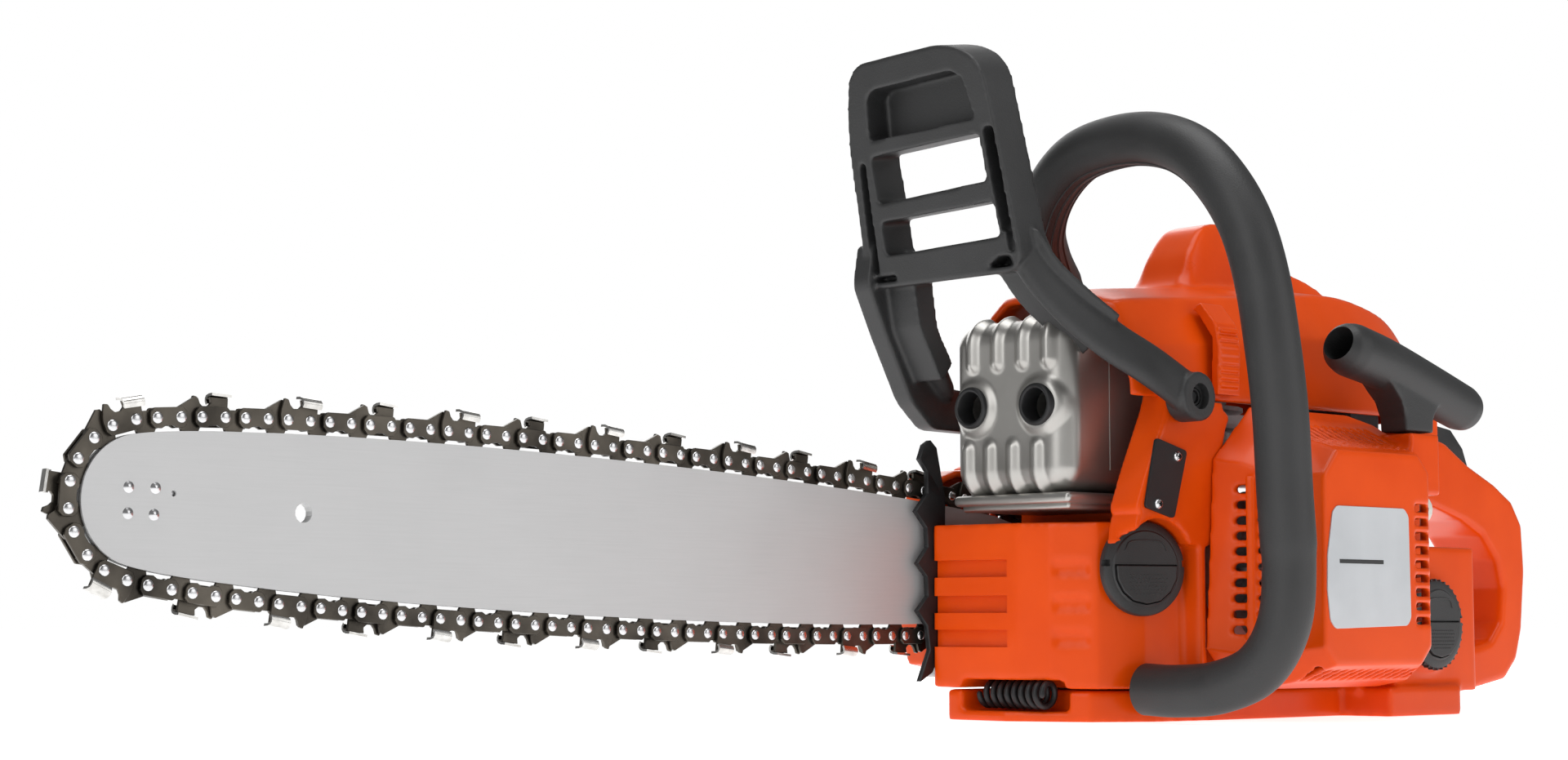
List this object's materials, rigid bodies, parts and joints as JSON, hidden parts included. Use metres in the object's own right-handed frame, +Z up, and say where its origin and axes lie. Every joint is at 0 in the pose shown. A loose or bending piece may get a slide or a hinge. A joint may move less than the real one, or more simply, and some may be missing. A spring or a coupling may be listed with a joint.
{
  "type": "petrol chainsaw",
  "caption": "Petrol chainsaw with guide bar and chain, front hand guard, muffler, clip-on top cover, rope starter, filler caps, and a sprung rear handle with throttle.",
  "frame": {"origin": "on the floor plane under the engine's cylinder axis, in the middle of the body's width", "axes": "+Z up; -X along the guide bar towards its nose; -Y towards the starter side, +Y towards the bar side"},
  "size_m": [0.7354, 0.2045, 0.2708],
  "materials": {
    "orange_plastic": "glossy, faint moulded grain",
    "dark_plastic": "satin with fine grain",
    "pressed_steel": "pressed sheet, dull",
    "bar_steel": "painted silver-grey satin",
    "chain_steel": "dark oiled steel with bright rivets",
    "dark_steel": "black oxide",
    "cast_alloy": "cast",
    "bright_steel": "zinc plated",
    "pale_plastic": "natural nylon",
    "rubber_black": "matt"
  },
  "bodies": {
    "saw": {"air_filter": "dark_plastic", "bar": "bar_steel", "bar_nut_front": "bright_steel", "bar_nut_rear": "bright_steel", "bar_stud_front": "bright_steel", "bar_stud_rear": "bright_steel", "bearing_left": "bright_steel", "bearing_right": "bright_steel", "brake_band": "dark_steel", "bumper": "dark_steel", "carburettor": "cast_alloy", "chain_catcher": "dark_plastic", "chain_drive_links": "chain_steel", "chain_left_straps": "chain_steel", "chain_right_straps": "chain_steel", "chain_tensioner": "bright_steel", "clutch_cover": "orange_plastic", "crankcase_left": "orange_plastic", "crankcase_right": "cast_alloy", "cylinder": "cast_alloy", "data_plate": "dark_plastic", "front_handle": "dark_plastic", "guard_screw_left": "bright_steel", "ignition_coil": "dark_plastic", "intake_boot": "rubber_black", "muffler_front": "pressed_steel", "muffler_rear": "pressed_steel", "oil_pump": "cast_alloy", "rear_handle": "orange_plastic", "recoil_spring": "bright_steel", "spark_plug": "bright_steel", "spring_front": "dark_steel", "starter_cover": "orange_plastic", "tank_unit": "orange_plastic", "top_cover": "orange_plastic"},
    "crank": {"crankshaft": "bright_steel", "flywheel": "cast_alloy", "clutch_shoes": "cast_alloy"},
    "drum": {"clutch_drum": "bright_steel"},
    "nose": {"nose_sprocket": "bright_steel"},
    "piston_group": {"piston": "cast_alloy", "wrist_pin": "bright_steel", "connecting_rod": "cast_alloy"},
    "pulley": {"starter_pulley": "pale_plastic"},
    "starter_pull": {"starter_handle": "dark_plastic", "starter_rope": "pale_plastic"},
    "guard": {"hand_guard": "dark_plastic"},
    "trigger": {"throttle_trigger": "dark_plastic"},
    "lockout": {"throttle_lockout": "dark_plastic"},
    "butterfly": {"throttle_butterfly": "bright_steel"},
    "switch": {"stop_switch": "dark_plastic"},
    "choke": {"choke_knob": "dark_plastic"},
    "purge": {"purge_bulb": "pale_plastic"},
    "oil_filler_cap": {"oil_cap": "dark_plastic"},
    "oil_filler_tab": {"oil_cap_tab": "dark_plastic"},
    "fuel_filler_cap": {"fuel_cap": "dark_plastic"},
    "fuel_filler_tab": {"fuel_cap_tab": "dark_plastic"},
    "cover_latch_left": {"latch_left": "orange_plastic"},
    "cover_latch_right": {"latch_right": "orange_plastic"},
    "cover_latch_rear": {"latch_rear": "orange_plastic"}
  },
  "joints": [
    {"name": "crank_spin", "type": "hinge", "parent": "saw", "child": "crank", "pos_m": [-0.005, 0, 0.0598], "axis": [0, 1, 0], "continuous": true},
    {"name": "drum_spin", "type": "hinge", "parent": "saw", "child": "drum", "pos_m": [-0.005, 0.05, 0.0598], "axis": [0, 1, 0], "continuous": true},
    {"name": "nose_spin", "type": "hinge", "parent": "saw", "child": "nose", "pos_m": [-0.46172, 0.05, 0.07831], "axis": [0, 1, 0], "continuous": true},
    {"name": "piston_slide", "type": "slide", "parent": "saw", "child": "piston_group", "axis": [0, 0, 1], "range_m": [-0.031, 0]},
    {"name": "pulley_spin", "type": "hinge", "parent": "saw", "child": "pulley", "pos_m": [-0.005, -0.08, 0.0598], "axis": [0, 1, 0], "range_deg": [0, 172]},
    {"name": "rope_pull", "type": "slide", "parent": "saw", "child": "starter_pull", "axis": [0, 0, 1], "range_m": [0, 0.075]},
    {"name": "guard_tilt", "type": "hinge", "parent": "saw", "child": "guard", "pos_m": [-0.0607, 0, 0.128], "axis": [0, -1, 0], "range_deg": [0, 20]},
    {"name": "trigger_pull", "type": "hinge", "parent": "saw", "child": "trigger", "pos_m": [0.139, -0.003, 0.109], "axis": [0, -1, 0], "range_deg": [0, 18], "stiffness_Nm_per_rad": 0.25},
    {"name": "lockout_press", "type": "hinge", "parent": "saw", "child": "lockout", "pos_m": [0.164, -0.003, 0.113], "axis": [0, 1, 0], "range_deg": [0, 8], "stiffness_Nm_per_rad": 0.25},
    {"name": "butterfly_turn", "type": "hinge", "parent": "saw", "child": "butterfly", "pos_m": [0.077, 0, 0.113], "axis": [0, 1, 0], "range_deg": [0, 75]},
    {"name": "switch_rock", "type": "hinge", "parent": "saw", "child": "switch", "pos_m": [0.1315, -0.029, 0.114], "axis": [0, 1, 0], "range_deg": [0, 12]},
    {"name": "choke_pull", "type": "slide", "parent": "saw", "child": "choke", "axis": [1, 0, 0], "range_m": [0, 0.012]},
    {"name": "purge_press", "type": "slide", "parent": "saw", "child": "purge", "axis": [-1, 0, 0], "range_m": [0, 0.004], "stiffness_N_per_m": 300},
    {"name": "oil_cap_turn", "type": "hinge", "parent": "saw", "child": "oil_filler_cap", "pos_m": [-0.068, -0.0386, 0.0605], "axis": [-0.309, -0.9511, 0], "range_deg": [0, 90]},
    {"name": "oil_tab_flip", "type": "hinge", "parent": "oil_filler_cap", "child": "oil_filler_tab", "pos_m": [-0.06973, -0.04393, 0.0615], "axis": [-0.9511, 0.309, 0], "range_deg": [0, 90]},
    {"name": "fuel_cap_turn", "type": "hinge", "parent": "saw", "child": "fuel_filler_cap", "pos_m": [0.09, -0.0664, 0.0385], "axis": [0, -1, 0], "range_deg": [0, 90]},
    {"name": "fuel_tab_flip", "type": "hinge", "parent": "fuel_filler_cap", "child": "fuel_filler_tab", "pos_m": [0.09, -0.072, 0.0395], "axis": [-1, 0, 0], "range_deg": [0, 90]},
    {"name": "latch_left_turn", "type": "hinge", "parent": "saw", "child": "cover_latch_left", "pos_m": [-0.029, -0.051, 0.131], "axis": [1, 0, 0], "range_deg": [0, 25]},
    {"name": "latch_right_turn", "type": "hinge", "parent": "saw", "child": "cover_latch_right", "pos_m": [0.031, 0.0465, 0.131], "axis": [-1, 0, 0], "range_deg": [0, 25]},
    {"name": "latch_rear_turn", "type": "hinge", "parent": "saw", "child": "cover_latch_rear", "pos_m": [0.111, -0.051, 0.102], "axis": [1, 0, 0], "range_deg": [0, 20]}
  ],
  "couplings": [
    {"joint": "nose_spin", "follows": "drum_spin", "ratio": 0.7},
    {"joint": "pulley_spin", "follows": "rope_pull", "rad_per_m": 40},
    {"joint": "butterfly_turn", "follows": "trigger_pull", "ratio": 4}
  ]
}
